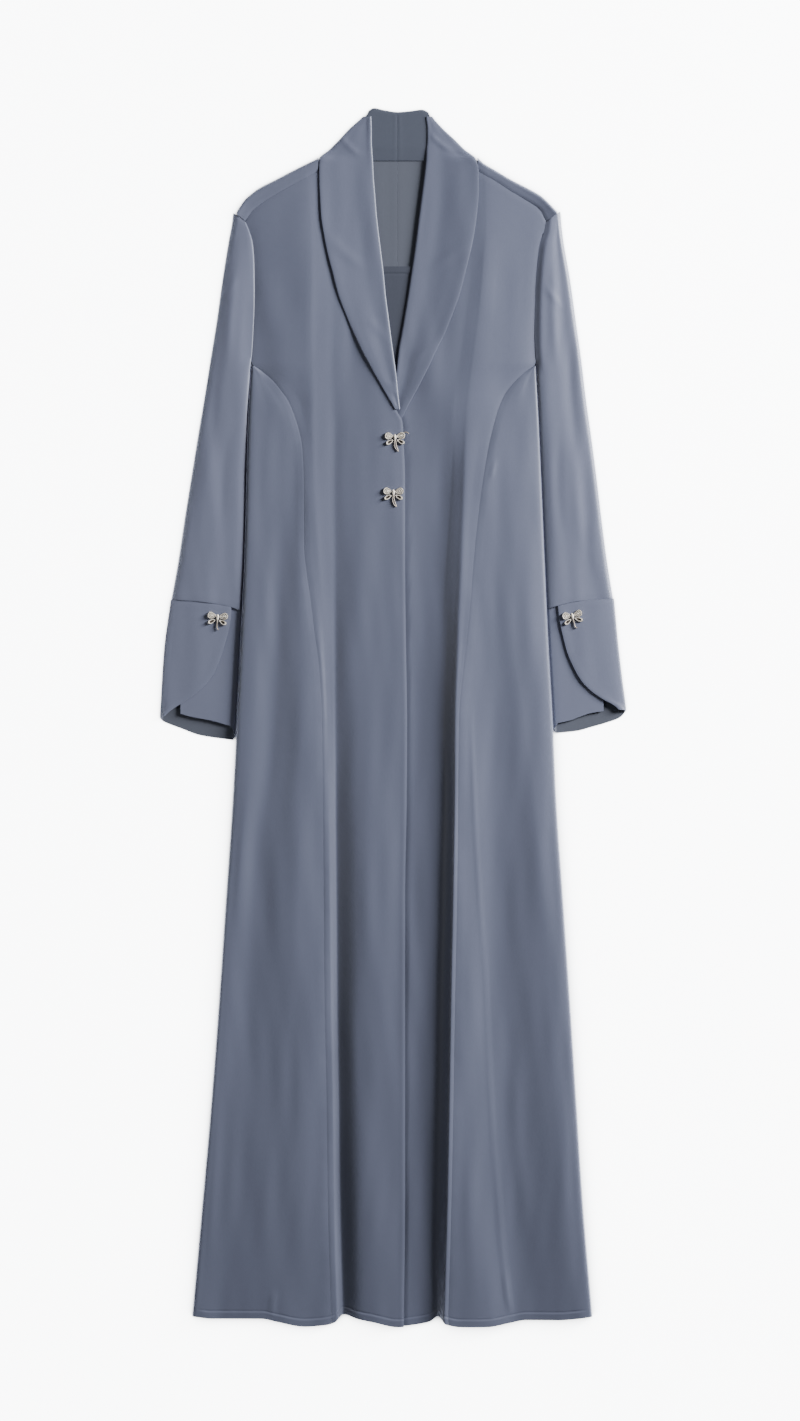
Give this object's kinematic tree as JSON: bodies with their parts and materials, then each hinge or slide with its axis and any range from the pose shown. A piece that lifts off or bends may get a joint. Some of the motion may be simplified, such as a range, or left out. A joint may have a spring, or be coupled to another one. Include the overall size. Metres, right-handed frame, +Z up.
{
  "type": "abaya",
  "caption": "Long open-front abaya laid flat, with a shawl collar, princess seams, soft skirt folds, straight sleeves, wrapped cuffs and dragonfly ornaments.",
  "frame": {"origin": "centre of the bounding box in plan, on the surface that the robe lies on", "axes": "+Y along the robe towards the collar, +X towards the wearer's left sleeve, +Z up from the surface"},
  "size_m": [0.5825, 1.5218, 0.0174],
  "materials": {
    "satin": "slate blue-grey satin with a soft sheen, matt and greyer on its wrong side",
    "ornament_metal": "antique warm silver casting, darkened in its grooves"
  },
  "bodies": {
    "root": {"back_right": "satin", "centre_front_right": "satin", "side_front_right": "satin", "sleeve_right": "satin", "cuff_right": "satin", "collar_right": "satin", "back_left": "satin", "centre_front_left": "satin", "side_front_left": "satin", "sleeve_left": "satin", "cuff_left": "satin", "collar_left": "satin", "neck_inset": "satin", "dragonfly_front_upper": "ornament_metal", "dragonfly_front_lower": "ornament_metal", "dragonfly_cuff_right": "ornament_metal", "dragonfly_cuff_left": "ornament_metal"}
  },
  "joints": []
}
